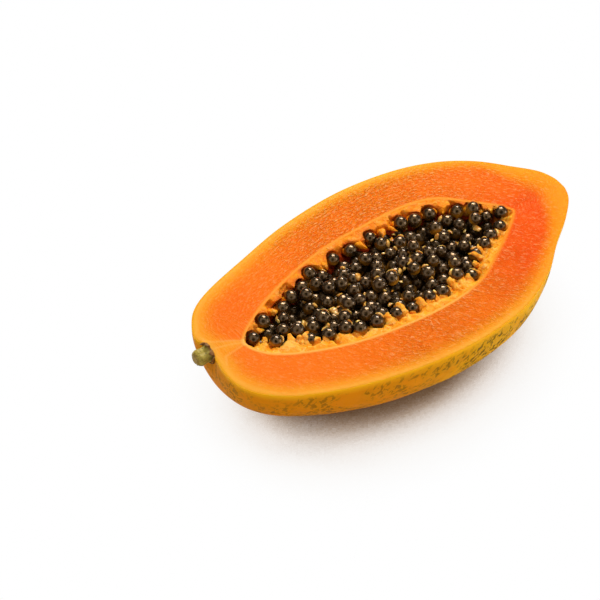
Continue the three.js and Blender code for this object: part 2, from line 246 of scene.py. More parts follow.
def ragged_tubes(centres, radii, sides, raggedness, flat=1.0, across=(0.31, 0.17, 0.93)):
    """Tapering tubes along many paths. centres is (tubes, rings, 3) and radii (tubes, rings); across gives
    each ring's flat direction and flat its thickness there, as a share. raggedness is the amount, cell,
    octaves and seed of the noise that moves the points. A ring of no radius closes each end."""
    across = np.broadcast_to(across, centres.shape)
    centres, across = (np.concatenate([a[:, :1], a, a[:, -1:]], axis=1) for a in (centres, across))
    radii = np.pad(radii, ((0, 0), (1, 1)))
    count, rings, _ = centres.shape
    along = unit(np.gradient(centres, axis=1))
    first = unit(across - along * np.sum(across * along, axis=-1, keepdims=True))
    second = np.cross(along, first)
    angle = 2 * np.pi * np.arange(sides) / sides
    offset = (first[:, :, None] * (np.cos(angle) * flat)[:, None]
              + second[:, :, None] * np.sin(angle)[:, None])
    points = (centres[:, :, None] + offset * radii[:, :, None, None]).reshape(count, -1, 3)
    points, quads = joined(points, grid_quads(rings, sides, loop=True))
    amount, cell, octaves, seed = raggedness
    points += amount * np.stack([noise(points, cell, octaves, seed + k) for k in range(3)], 1)
    return weld([(points, quads, 0)])[:2]


# ---- Materials ----

def linear(colour):
    """A colour written as sRGB hex, turned linear for the shader. A socket is left as it is."""
    if isinstance(colour, bpy.types.NodeSocket):
        return colour
    channels = [int(colour[i:i + 2], 16) / 255 for i in (1, 3, 5)]
    return [c / 12.92 if c <= 0.04045 else ((c + 0.055) / 1.055) ** 2.4 for c in channels] + [1.0]


class Nodes:
    """A tree of shading nodes, built node by node."""

    def __init__(self, tree):
        self.tree = tree

    def feed(self, node, **inputs):
        """Links and values for a node's inputs: _ stands for a space, and in0 and so on are by number."""
        for key, value in inputs.items():
            numbered = key.startswith("in") and key[2:].isdigit()
            socket = node.inputs[int(key[2:]) if numbered else key.replace("_", " ")]
            if isinstance(value, bpy.types.NodeSocket):
                self.tree.links.new(value, socket)
            else:
                socket.default_value = value
        return node

    def add(self, kind, settings=None, **inputs):
        """A node with its settings and inputs."""
        node = self.tree.nodes.new("ShaderNode" + kind)
        for key, value in (settings or {}).items():
            setattr(node, key, value)
        return self.feed(node, **inputs)

    def maths(self, operation, a, b):
        """Two numbers added, subtracted and so on."""
        return self.add("Math", {"operation": operation}, in0=a, in1=b).outputs[0]

    def times(self, product, *factors):
        """The product of several numbers."""
        for factor in factors:
            product = self.maths("MULTIPLY", product, factor)
        return product

    def spread(self, value, low, high, to_low=0.0, to_high=1.0):
        """value taken smoothly from the range low..high to the range to_low..to_high."""
        return self.add("MapRange", {"interpolation_type": "SMOOTHSTEP"}, Value=value, From_Min=low,
                        From_Max=high, To_Min=to_low, To_Max=to_high).outputs["Result"]


class Shader(Nodes):
    """A material's nodes, around one main shader."""

    def __init__(self, name):
        self.material = bpy.data.materials.new(name)
        self.material.use_nodes = True
        super().__init__(self.material.node_tree)
        self.tree.nodes.clear()
        self.surface = self.add("BsdfPrincipled")
        self.output = self.add("OutputMaterial", Surface=self.surface.outputs[0])
        self.place = self.add("TexCoord").outputs["Object"]

    def set(self, **inputs):
        """Links and values for the main shader."""
        self.feed(self.surface, **inputs)

    def grain(self, size, detail=2.0, rough=0.5, place=None, distortion=0.0):
        """Noise from 0 to 1, with features about size millimetres across."""
        return self.add("TexNoise", Vector=place or self.place, Scale=1000.0 / size / 2, Detail=detail,
                        Roughness=rough, Distortion=distortion).outputs["Fac"]

    def turned(self, angle, stretch, tip=0.0):
        """Object coordinates turned about Z, tipped up, and stretched along the turned X."""
        turn = self.add("Mapping", Vector=self.place, Rotation=(0, math.radians(tip), math.radians(-angle)))
        return self.add("Mapping", Vector=turn.outputs[0], Scale=(1.0 / stretch, 1.0, 1.0)).outputs[0]

    def blend(self, share, a, b):
        """Number a going to number b by share."""
        return self.add("Mix", {"data_type": "FLOAT"}, in0=share, in2=a, in3=b).outputs[0]

    def mix(self, share, a, b):
        """Colour a going to colour b by share. Colours are hex codes or sockets."""
        return self.add("Mix", {"data_type": "RGBA"}, in0=share, in6=linear(a), in7=linear(b)).outputs[2]

    def layers(self, base, *layers):
        """A colour with others laid over it, each by its own share."""
        for share, colour in layers:
            base = self.mix(share, base, colour)
        return base

    def ramp(self, value, stops):
        """A colour ramp through (position, hex code) stops."""
        node = self.add("ValToRGB", Fac=value)
        ramp = node.color_ramp
        ramp.interpolation = "EASE"
        while len(ramp.elements) < len(stops):
            ramp.elements.new(0.5)
        for element, (position, code) in zip(ramp.elements, stops):
            element.position = position
            element.color = linear(code)
        return node.outputs["Color"]

    def attribute(self, name):
        """A number that the mesh carries at its points."""
        return self.add("Attribute", {"attribute_name": name}).outputs["Fac"]

    def bump(self, height, distance, strength=1.0, under=None):
        """A normal raised by height times distance, in millimetres, over another normal if given."""
        node = self.add("Bump", Height=height, Distance=distance * 0.001, Strength=strength)
        if under is not None:
            self.feed(node, Normal=under)
        return node.outputs["Normal"]


def cut_flesh_material():
    """Moist cut flesh: orange-red, with a soft yellow-orange band under the skin. Fine crumbly fibres stand
    a little proud of the cut, following the edge on the far side and slanting across it on the near side.
    Small pale dashes on their tops are a painted highlight, and darker strokes between them are painted
    shade."""
    s = Shader("cut_flesh")
    wander = s.times(s.maths("SUBTRACT", s.grain(5.0, 3.0), 0.5), 0.14)
    peel = s.maths("ADD", s.attribute("peel"), wander)
    flesh = s.mix(s.attribute("ripe"), "#EC760D", "#E04C03")
    mottle = s.spread(s.grain(9.0, 3.0, 0.6), 0.35, 0.7)
    flesh = s.mix(s.times(mottle, 0.15), flesh, "#E8650A")
    under_skin = s.ramp(peel, ((0.0, "#DE9A0C"), (0.1, "#E69E30"), (0.3, "#E68E18"), (0.6, "#E67E10"),
                               (1.0, "#E6740C")))
    where = s.add("SeparateXYZ", Vector=s.place).outputs
    tip_skin = s.ramp(peel, ((0.0, "#DA8A06"), (0.3, "#E28408"), (0.7, "#E47A0C"), (1.0, "#E46C0E")))
    under_skin = s.mix(s.spread(where["X"], 0.02, 0.085), under_skin, tip_skin)
    body = s.mix(s.spread(peel, 0.35, 1.15), under_skin, flesh)
    near = s.spread(where["Y"], 0.004, -0.012)
    round_edge = s.add("CombineXYZ", X=s.times(s.attribute("around"), 0.4), Y=s.attribute("inward"))
    far_strokes = s.grain(0.5, 3.0, 0.65, round_edge.outputs[0], 0.5)
    near_strokes = s.grain(0.52, 3.0, 0.65, s.turned(-48, 2.2), 0.9)
    strokes = s.blend(near, far_strokes, near_strokes)
    shown = s.times(s.spread(s.grain(7.0, 2.0), 0.3, 0.65, 0.8, 1.0),
                    s.spread(peel, 0.05, 0.6, 0.3, 1.0),
                    s.spread(near, 0.0, 1.0, 1.0, 0.85),
                    s.spread(where["X"], -0.08, -0.015, 0.4, 1.0),
                    s.spread(where["X"], 0.02, 0.07, 1.0, 0.7),
                    s.spread(s.attribute("rim_mm"), 0.3, 1.8))
    # Painted highlight: pale dashes on the fibres' tops. Painted shade: darker strokes in the creases between
    # them.
    far_top_highlights = s.spread(far_strokes, 0.48, 0.68, 0.0, 0.6)
    near_top_highlights = s.spread(near_strokes, 0.5, 0.67, 0.0, 0.62)
    body = s.layers(body,
                    (s.times(s.blend(near, far_top_highlights, near_top_highlights), shown), "#F4B070"),
                    (s.times(s.spread(strokes, 0.5, 0.32, 0.0, 0.48), shown), "#D65004"),
                    (s.spread(s.attribute("rim_mm"), 0.2, 2.4, 0.8, 0.0), "#EC8E20"),
                    # The pale veins are the flesh's own colour. The pale line along the rim is a painted
                    # highlight on its raised lip.
                    (s.spread(s.attribute("pale"), 0.0, 1.0), "#EAA64C"))
    normal = s.bump(s.grain(6.0, 2.0, 0.5), 0.3)
    normal = s.bump(strokes, 2.4, shown, under=normal)
    wet = s.spread(s.grain(1.3, 2.0, 0.5), 0.62, 0.74, 0.6, 0.25)
    s.set(Base_Color=body, Roughness=wet, Normal=normal, Subsurface_Weight=0.3, Subsurface_Scale=0.003,
          Subsurface_Radius=(1.0, 0.3, 0.1), Specular_IOR_Level=0.07)
    return s.material


def skin_material():
    """Waxy ripe skin: yellow ochre with a tan blush, and clusters of slanting dark green strokes where it
    hasn't turned yet. Faint pores and low swells break up the sheen."""
    s = Shader("papaya_skin")
    along = s.add("SeparateXYZ", Vector=s.place).outputs["X"]
    unripe = s.attribute("green")
    strokes = s.spread(s.grain(0.9, 2.0, 0.5, s.turned(0, 1.8, 60), 0.4), 0.51, 0.57)
    cluster = s.spread(s.grain(9.0, 3.0, 0.6), 0.43, 0.54)
    specks = s.spread(s.grain(0.8, 2.0, 0.6), 0.66, 0.74)
    base = s.layers(s.mix(s.spread(along, -0.05, 0.03), "#E68C04", "#F8BE10"),
                    (s.spread(s.grain(26.0, 3.0), 0.35, 0.7, 0.0, 0.4), "#EC9A0C"),
                    (s.spread(s.grain(7.0, 4.0, 0.6), 0.4, 0.75, 0.0, 0.45), "#D07E04"),
                    (s.attribute("blush"), "#E6C090"),
                    (s.attribute("lip"), "#FFBA14"),
                    (s.times(cluster, unripe, 0.3), "#B0900C"),
                    (s.times(strokes, cluster, unripe, 0.8), "#2E3408"),
                    (s.times(specks, unripe, 0.5), "#6A5C14"))
    normal = s.bump(s.grain(9.0, 3.0, 0.5), 0.5, 0.6)
    normal = s.bump(s.grain(0.9, 2.0, 0.5), 0.05, under=normal)
    s.set(Base_Color=base, Roughness=s.spread(s.grain(3.0, 3.0), 0.3, 0.7, 0.4, 0.55), Normal=normal,
          Subsurface_Weight=0.1, Subsurface_Scale=0.002, Subsurface_Radius=(1.0, 0.5, 0.15),
          Specular_IOR_Level=0.04)
    return s.material


def pulp_material():
    """Soft moist pulp of the cavity's lining: yellow-orange. Its lumps get painted highlight and shade, its
    torn crests a pale painted highlight, and its hollows and the places round the seeds a redder painted
    shade."""
    s = Shader("pulp")
    tone = s.spread(s.grain(2.2, 4.0, 0.6), 0.3, 0.72)
    far = s.spread(s.add("SeparateXYZ", Vector=s.place).outputs["Y"], 0.002, 0.018)
    base = s.mix(far, s.mix(tone, "#EC8A0A", "#F4A828"), s.mix(tone, "#E87C06", "#F0980F"))
    fluff = s.grain(1.5, 3.0, 0.6, distortion=0.6)
    share = s.spread(far, 0.0, 1.0, 1.0, 0.5)
    # Painted highlight and painted shade on the fluff's lumps, half as much on the far side. A painted
    # highlight goes on the crests, and painted shade, darker red, in the hollows.
    base = s.layers(base,
                    (s.times(s.spread(fluff, 0.5, 0.66, 0.0, 0.55), share), "#F8C46C"),
                    (s.times(s.spread(fluff, 0.48, 0.32, 0.0, 0.4), share), "#DC7004"),
                    (s.attribute("crest_highlight"), "#F8BA54"),
                    (s.attribute("hollow_shade"), "#B83C06"))
    s.set(Base_Color=base, Roughness=s.spread(s.grain(1.2, 2.0), 0.5, 0.7, 0.6, 0.3),
          Normal=s.bump(fluff, 1.6), Subsurface_Weight=0.35, Subsurface_Scale=0.003,
          Subsurface_Radius=(1.0, 0.45, 0.12), Specular_IOR_Level=0.12)
    return s.material


def seed_material(name, film_share, ior):
    """A dark ridged seed in a clear wet coat: brown-black with pale flecks on its ridges, under a film of
    water that mirrors the lamp. An amber colour on one lower side is painted light, the glow of light through
    the jelly of the coat. Seeds deep in the heap get less of the film and a lower IOR, a darker copy that
    stands in for the shade there."""
    s = Shader(name)
    ridges = s.spread(s.grain(0.7, 3.0, 0.7), 0.45, 0.72)
    heart = s.mix(ridges, "#100A05", "#42341F")
    # Painted light: amber for the glow through the jelly, laid on one lower side of each seed.
    jelly = s.mix(s.attribute("tint"), "#402A08", "#C0801E")
    body = s.mix(s.attribute("jelly"), heart, jelly)
    normal = s.bump(s.grain(1.0, 3.0, 0.6), 0.35)
    film = s.bump(s.grain(1.2, 2.0, 0.6), 0.04)
    s.set(Base_Color=body, Roughness=0.16, IOR=ior, Specular_Tint=linear("#FFC06A"), Normal=normal,
          Coat_Weight=film_share, Coat_IOR=1.36, Coat_Roughness=0.02, Coat_Normal=film)
    return s.material


def membrane_material():
    """Golden shreds of the seeds' skins, thin enough for light to come through."""
    s = Shader("golden_membrane")
    base = s.mix(s.spread(s.grain(1.5, 3.0), 0.35, 0.7), "#C07A1A", "#F8CA70")
    s.set(Base_Color=base, Roughness=0.2, Subsurface_Weight=0.5, Subsurface_Scale=0.002,
          Subsurface_Radius=(1.0, 0.6, 0.25), Normal=s.bump(s.grain(1.0, 3.0), 0.2))
    return s.material


def stalk_material():
    """A drying green stalk: olive ridges with corky brown at its foot and at the torn end."""
    s = Shader("stalk_bark")
    base = s.mix(s.spread(s.grain(2.0, 4.0, 0.6), 0.35, 0.7), "#8A781C", "#B8A240")
    base = s.mix(s.attribute("dry"), base, "#7A4A18")
    base = s.mix(s.spread(s.grain(0.9, 3.0, 0.6), 0.58, 0.72, 0.0, 0.7), base, "#4A4220")
    normal = s.bump(s.grain(1.2, 4.0, 0.6), 0.35)
    s.set(Base_Color=base, Roughness=0.6, Normal=normal, Subsurface_Weight=0.05, Subsurface_Scale=0.001)
    return s.material


# ---- The half fruit ----

EDGE_STEPS = 380
BACK_STEPS = 56
FACE_STEPS = 28
SHELF_STEPS = 48
CAVITY_FLOOR_STEPS = 16
SKIN_SWELLS = 0.35
FACE_SWELLS = 0.22
FAR_SHELF_SHARE = 0.3
# Stations along the cavity that the pulp at its two tips grows towards.
PULP_AIMS = (-66, 48)
PULP_RETREAT = 4.0
# The pulp on the near side and on the far side, in millimetres: how far it reaches towards the seeds and
# what lumps and swells add, its gap to a seed, its upward tilt, and what lifts and sinks it. The last
# entry, a share, is how much painted highlight its crests get.
PULP = {
    "reach": (4.8, 2.6),
    "lumps": (3.6, 2.8),
    "swells": (3.6, 4.4),
    "least_swell": (-0.6, -0.5),
    "gap": (0.4, 1.3),
    "tilt": (0.12, 0.16),
    "ridge_lift": (1.6, 0.0),
    "lump_lift": (0.8, 1.3),
    "sink": (1.1, 0.5),
    "crumbs": (0.95, 0.75),
    "crest_highlight": (0.7, 0.1),
}
# The scoop round each seed on the near side, in shares of the seed's radius, and its slope.
SCOOP_DEPTH = 0.6
SCOOP_WIDTH = 0.7
SCOOP_SLOPE = 1.15
# Pale veins between the cavity and the stalk, and the line of the pale core there: x, y.
VEINS = (
    ((-87.4, 1.0), (-92, 4.4), (-99.7, 8.5), (-102.5, 11)),
    ((-87.4, -0.6), (-93, -1.4), (-100.1, -2.4), (-102.2, -6.8)),
    ((-88, 0.4), (-96, 3.4), (-103.4, 5.4)),
)
CORE = ((-90, 1.2), (-104, 4.6))


def outline_paths(outline):
    """Far and near edges of an outline from pole to pole, both at z = 0."""
    rows = smooth_through(outline, np.linspace(0, len(outline) - 1, EDGE_STEPS + 1))
    return [np.stack([rows[:, 0], rows[:, k], np.zeros(len(rows))], 1) for k in (1, 2)]


def section_points(far, near, aside, depth):
    """Points across the fruit at shares of its half-width aside and down, and its middle and half-width."""
    middle, half = (far + near) / 2, (far[:, 1] - near[:, 1])[:, None] / 2
    points = np.empty((len(far), len(aside), 3))
    points[..., :2] = middle[:, None, :2]
    points[..., 1] += half * aside
    points[..., 2] = -half * depth
    return points, middle, half


def skin_points(far, near, turns):
    """The rounded back: half-ellipses from the far edge down and up to the near one, with faint lobes."""
    lobe = 1 + LOBE_HEIGHT_SHARE * np.cos(LOBES * (turns - np.pi / 2))
    points, middle, half = section_points(far, near, np.cos(turns) * lobe,
                                          BODY_DEPTH_SHARE * np.sin(turns) * lobe)
    fade = soft_step(np.sin(turns), 0.0, 0.5) * soft_step(half, 4, 20)
    outward = unit(points - middle[:, None])
    points += outward * (SKIN_SWELLS * noise(points, 24.0, 2, 5) * fade)[..., None]
    points[..., 2] = np.maximum(points[..., 2], -FACE_HEIGHT)
    points[:, 0], points[:, -1] = far, near
    return points


def pulp_growth(points, towards, allowed, seeds, radii, clear):
    """How far each point of the pulp grows along its direction: as far as allowed, or until it comes within
    clear of a seed, and back out of a seed that it starts inside. A seed is met at the nearer root of
    |p + t d - c| = r + clear."""
    growth = allowed
    for centre, radius in zip(seeds, radii):
        offset = points - centre
        ahead = np.sum(offset * towards, axis=-1)
        inside = ahead ** 2 - np.sum(offset * offset, axis=-1) + (radius + clear) ** 2
        root = np.sqrt(np.maximum(inside, 0))
        met = (inside > 0) & (root - ahead > 0)
        growth = np.where(met, np.minimum(growth, -ahead - root), growth)
    return np.maximum(growth, -PULP_RETREAT)


def lining_points(far, near, across, seeds, radii):
    """The cavity's lining: the shelf of pulp under the rim, the wall and the floor. The pulp stands up in
    ragged tongues between the seeds and is scooped out round each of them, on the near side in a steep cone.
    Returned with the points is how much painted highlight each one gets on the pulp's crests."""
    share = 1 - np.abs(across)
    wide, deep = smooth_through(LINING_SECTION, share * (len(LINING_SECTION) - 1)).T
    points, middle, half = section_points(far, near, np.sign(across) * wide, CAVITY_DEPTH_SHARE * deep)
    x, y, z = np.moveaxis(points, -1, 0)
    side = np.broadcast_to(np.sign(across), x.shape)
    pulp_has = {key: np.where(side < 0, *values) for key, values in PULP.items()}
    rounding = FAR_SHELF_SHARE + (1 - FAR_SHELF_SHARE) * soft_step(share, 0.06, 0.3)
    z *= np.where(side > 0, rounding, 1)
    fade = soft_step(share, 0.03, 0.2) * soft_step(half, 1.0, 6.0)
    inward = unit(np.stack([0.5 * (np.clip(x, *PULP_AIMS) - x), middle[:, None, 1] - y], -1))
    wander = 0.45 * noise(points, 5.0, 2, 14)
    towards = unit(np.stack([inward[..., 0] + wander * inward[..., 1],
                             inward[..., 1] - wander * inward[..., 0],
                             pulp_has["tilt"]], -1))
    lumps = noise(points * [1, 0.35, 0.35], 2.4, 2, 11)
    swells = np.maximum(noise(points * [1, 0.4, 0.4], 6.5, 1, 12), pulp_has["least_swell"])
    body = fade * soft_step(-share, -0.62, -0.4)
    allowed = (pulp_has["reach"] + pulp_has["lumps"] * lumps + pulp_has["swells"] * swells) * body
    growth = pulp_growth(points, towards, allowed, seeds, radii, pulp_has["gap"])
    growth = np.maximum(growth, -0.3 - 3.7 * soft_step(-x, -70, -64))
    z *= 1 - 0.6 * soft_step(x, 66, 71)
    ridges = 1 - 2.2 * np.abs(noise(points * [1, 0.25, 0.25], 3.4, 1, 15))
    # Painted highlight: how much the pulp is lightened on the crests of its ridges.
    crest_highlight = pulp_has["crest_highlight"] * soft_step(ridges, 0.3, 0.95) * body
    points += towards * growth[..., None]
    z += (pulp_has["ridge_lift"] * ridges + pulp_has["lump_lift"] * lumps - pulp_has["sink"]) * body
    for seed, radius in zip(seeds, radii):
        away = np.hypot(x - seed[0], y - seed[1]) - SCOOP_WIDTH * radius
        scoop = seed[2] - SCOOP_DEPTH * radius + SCOOP_SLOPE * away
        z[:] = np.where(side < 0, np.minimum(z, scoop), z)
    crumbs = pulp_has["crumbs"] * noise(points, 1.8, 3, 13) * fade
    y -= crumbs * side
    z += 0.8 * crumbs
    z[:] = np.minimum(z, -0.25 * soft_step(share, 0, 0.1))
    points[:, 0], points[:, -1] = far, near
    points[0], points[-1] = far[0], far[-1]
    return points, crest_highlight


def face_points(outer, inner, outline, rim, share):
    """One side of the cut face, rounded over at the skin, raised a little at the rim, and gently uneven."""
    face = outer[:, None] * (1 - share[:, None]) + inner[:, None] * share[:, None]
    flat = face.reshape(-1, 3)[:, :2]
    to_edge = distance_to_path(flat, outline).reshape(face.shape[:2])
    to_rim = distance_to_path(flat, rim).reshape(face.shape[:2])
    sag = -0.35 * np.exp(-to_edge / 0.5) + 0.2 * bell(to_rim - 1.1, 0.8)
    swell = FACE_SWELLS * noise(face, 14.0, 2, 21) * soft_step(to_edge, 0, 5) * soft_step(to_rim, 0, 4)
    face[..., 2] += np.where((share > 0) & (share < 1), sag + swell, 0)
    return face


def fruit_attributes(points, crest_highlight, outline, rim, edge_seeds, edge_radii):
    """What the materials need to know at each point: how ripe the flesh is, how near the skin, the rim, a
    vein or a seed it is, and where the skin is tan or green. The lining's darker red deep down and round the
    seeds is painted shade."""
    flat = points[:, :2]
    x, y, depth = points[:, 0], points[:, 1], -points[:, 2]
    to_edge, around = nearest_on_path(flat, outline)
    to_rim = distance_to_path(flat, rim)
    band = 12 - 3.5 * soft_step(x, 40, 75) + 16 * soft_step(x, 76, 100) + 4 * soft_step(-x, 85, 104)
    core = distance_to_path(flat, CORE) - 2.0 - 4.0 * soft_step(-x, 88, 103)
    ripe = (0.17 + 0.46 * soft_step(x, 10, 75) + 0.22 * np.exp(-((flat - [-78, 22]) ** 2).sum(1) / 200)
            + 0.4 * soft_step(x, 22, 56) * soft_step(-y, -12, 2)
            - 0.2 * soft_step(y, 8, 26) * soft_step(x, 0, 30) * soft_step(-x, -90, -70))
    vein = np.min([distance_to_path(flat, path) for path in VEINS], axis=0)
    # The pale line along the rim is a painted highlight on its raised lip. The pale veins are the flesh's own
    # colour.
    rim_glint = np.where(y < 2, 0.85 - 0.85 * soft_step(x, 5, 45), 0.35) * (x < 70)
    tan_spot = np.exp(-(((flat - [84, -27]) / [15, 10]) ** 2).sum(1))
    gap = np.min([np.linalg.norm(points - centre, axis=1) - radius
                  for centre, radius in zip(edge_seeds, edge_radii)], axis=0)
    # Painted shade: darker red on the lining close to a seed on the far side, where its socket is in shade.
    painted_socket_shade = 0.9 * bell(gap.clip(0), 2.1) * soft_step(y, 2, 8)
    # Painted shade: darker red on the lining deeper in the cavity, most on the far side.
    painted_shade = np.where(y > 0, 0.1 + 0.9 * soft_step(depth, 1.6, 4.4), 0.9 * soft_step(depth, 2.5, 6.5))
    return {
        "peel": np.clip(np.minimum(to_edge / band, np.maximum(0.32, 0.6 + core / 5.0)), 0, 1.6),
        "ripe": np.clip(ripe, 0, 1),
        "pale": np.clip(0.5 * bell(vein, 0.8) + rim_glint * bell(to_rim - 0.7, 0.8), 0, 1),
        "rim_mm": to_rim,
        "crest_highlight": crest_highlight,
        "around": around * 0.001,
        "inward": to_edge * 0.001,
        "lip": bell(depth, 2.4),
        "blush": 0.95 * tan_spot * soft_step(depth, 1, 5),
        "green": soft_step(depth, 1.0, 4.0) * (0.55 + 0.45 * soft_step(x, -40, 30)) * soft_step(-y, -30, 20),
        "hollow_shade": (1 - 0.8 * soft_step(x, 62, 69)) * np.maximum(painted_socket_shade, painted_shade),
    }


def make_half_fruit(seeds, radii):
    """Skin, cut face and lining as one closed mesh, a material for each."""
    face_far, face_near = outline_paths(FACE_OUTLINE)
    rim_far, rim_near = outline_paths(RIM_OUTLINE)
    outline, rim = (np.concatenate([far, near[::-1]])[::3, :2]
                    for far, near in ((face_far, face_near), (rim_far, rim_near)))
    edge = np.array([0, 0.003, 0.009, 0.02])
    turns = np.concatenate([edge, np.linspace(0.04, np.pi - 0.04, BACK_STEPS), np.pi - edge[::-1]])
    skin = skin_points(face_far, face_near, turns)
    share = np.concatenate([[0, 0.005, 0.016, 0.035], np.linspace(0.06, 0.94, FACE_STEPS),
                            [0.965, 0.982, 0.993, 1]])
    far_face = face_points(face_far, rim_far, outline, rim, share)
    near_face = face_points(face_near, rim_near, outline, rim, share)
    across = np.concatenate([np.linspace(1, 0.6, SHELF_STEPS),
                             np.linspace(0.6, -0.6, CAVITY_FLOOR_STEPS)[1:-1],
                             np.linspace(-0.6, -1, SHELF_STEPS)])
    lining, lining_crest_highlight = lining_points(rim_far, rim_near, across, seeds, radii)
    # Each grid, which way round its faces go, and its material's number.
    grids = ((skin, -1, 1), (far_face, 1, 0), (near_face, -1, 0), (lining, 1, 2))
    patches = [(grid.reshape(-1, 3), grid_quads(*grid.shape[:2])[:, ::way], material)
               for grid, way, material in grids]
    points, quads, region, kept = weld(patches)
    crest_highlight = np.zeros(sum(len(patch[0]) for patch in patches))
    crest_highlight[-lining_crest_highlight.size:] = lining_crest_highlight.ravel()
    held = len(EDGE_SEEDS)
    attributes = fruit_attributes(points, crest_highlight[kept], outline, rim, seeds[:held], radii)
    materials = [cut_flesh_material(), skin_material(), pulp]
    piece = make_piece("half_papaya", points, quads, materials, "flesh_and_skin", attributes, region)
    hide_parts("half_fruit")


# ---- The seeds ----

LOWER_PITCH = 6.6
LOWER_ROW_PITCH = 5.9
LOWER_JITTER = 1.8
SEED_UNEVENNESS = 0.02
RIM_SAMPLES = smooth_through(RIM_OUTLINE, np.arange((len(RIM_OUTLINE) - 1) * 8 + 1) / 8)


def rim_at(x):
    """The far and the near y of the cavity's rim at x."""
    return [np.interp(x, RIM_SAMPLES[:, 0], RIM_SAMPLES[:, k]) for k in (1, 2)]


def heap_height(x, y):
    """Height of the seed centres: a low crown with a slight relief, sunken where seeds are missing."""
    height = HEAP_HEIGHT + HEAP_RELIEF * np.sin(0.37 * x + 0.21 * y) * np.cos(0.29 * y - 0.12 * x)
    cx, cy, long, wide, rise = HEAP_CROWN
    height = height + rise * np.exp(-((x - cx) / long) ** 2 - ((y - cy) / wide) ** 2)
    for cx, cy, radius, depth in HEAP_HOLLOWS:
        height = height - depth * np.exp(-((x - cx) ** 2 + (y - cy) ** 2) / radius ** 2)
    return height


def comb(layers=1):
    """Row, column and layer of every cell of a honeycomb."""
    cells = np.indices((2 * COMB_ROWS + 1, 2 * COMB_COLUMNS + 1, layers)).reshape(3, -1)
    return cells - np.array([[COMB_ROWS], [COMB_COLUMNS], [0]])


def seed_places():
    """Number, place and radius of each seed: the ones the pulp holds along the edge, and a jittered honeycomb
    between them, shaken until neighbours stop crowding. The rule is the same as the solids'."""
    first, end = RIM_SAMPLES[0, 0] + INNER_INSET_TIPS, RIM_SAMPLES[-1, 0] - INNER_INSET_TIPS

    def room(x):
        """The highest and lowest y that a seed's centre may have at x."""
        far, near = rim_at(x)
        middle = (far + near) / 2
        return np.maximum(far - INNER_INSET_FAR, middle), np.minimum(near + INNER_INSET_NEAR, middle)

    row, column, _ = comb()
    n = (row + COMB_ROWS) * 40 + column + COMB_COLUMNS
    x = (column + 0.5 * (np.abs(row) % 2)) * SEED_PITCH + jitter(n, SEED_JITTER)
    y = row * SEED_PITCH * ROW_PITCH_SHARE + jitter(n + 5000, SEED_JITTER)
    high, low = room(x)
    to_edge_seeds = np.hypot(x[:, None] - EDGE_SEEDS[:, 0], y[:, None] - EDGE_SEEDS[:, 1])
    crowded = (to_edge_seeds < 0.7 * SEED_PITCH).any(axis=1)
    kept = ((x > first - 2) & (x < end + 2) & (y < high + 1) & (y > low - 1) & ~crowded
            & (repeatable(n + 35000) >= SEEDS_LOST))
    held = len(EDGE_SEEDS)
    n = np.concatenate([np.arange(held) + 1000, n[kept]])
    x, y = np.concatenate([EDGE_SEEDS, np.stack([x, y], 1)[kept]]).T
    fall = repeatable(n + 10000) * (SEED_RISE + SEED_FALL) * np.where(np.arange(len(n)) < held, 0.5, 1)
    radius = SEED_RADIUS + jitter(n + 15000, SEED_RADIUS_SPREAD)
    place = np.stack([x, y, heap_height(x, y) + SEED_RISE - fall], 1)
    wanted = radius[:, None] + radius[None]
    for _ in range(SETTLING_STEPS):
        gap = place[None] - place[:, None]
        distance = np.linalg.norm(gap, axis=2) + np.eye(len(n)) * 1e9
        share = np.where(distance < wanted, SETTLING_SHARE * (wanted - distance) / distance, 0)
        moved = place[held:] - (gap * share[..., None]).sum(axis=1)[held:]
        level = heap_height(moved[:, 0], moved[:, 1])
        high, low = room(moved[:, 0])
        place[held:, 0] = np.clip(moved[:, 0], first, end)
        place[held:, 1] = np.minimum(np.maximum(moved[:, 1], low), high)
        place[held:, 2] = np.clip(moved[:, 2], level - SEED_FALL, level + SEED_RISE)
    return n, place, radius


def lower_seed_places():
    """Places of the seeds below the ones on top, in two layers of jittered honeycomb."""
    row, column, layer = comb(2)
    n = (row + COMB_ROWS) * 40 + column + 3000 * (layer + 1)
    x = (column + 0.5 * (row % 2) + 0.3 * layer) * LOWER_PITCH + jitter(n, LOWER_JITTER)
    y = (row + 0.5 * layer) * LOWER_ROW_PITCH + jitter(n + 400, LOWER_JITTER)
    far, near = rim_at(x)
    kept = (y < far - 7.0 - layer) & (y > near + 9.5 + layer) & (x > -80) & (x < 65)
    z = heap_height(x, y) - 5.0 - 4.0 * layer + jitter(n + 800, 1.0)
    return np.stack([x, y, z], 1)[kept]


def ball(subdivisions):
    """Points and triangles of an even ball of radius 1."""
    shape = bmesh.new()
    bmesh.ops.create_icosphere(shape, subdivisions=subdivisions, radius=1.0)
    points = np.array([v.co[:] for v in shape.verts])
    faces = np.array([[v.index for v in f.verts] for f in shape.faces])
    shape.free()
    return points, faces


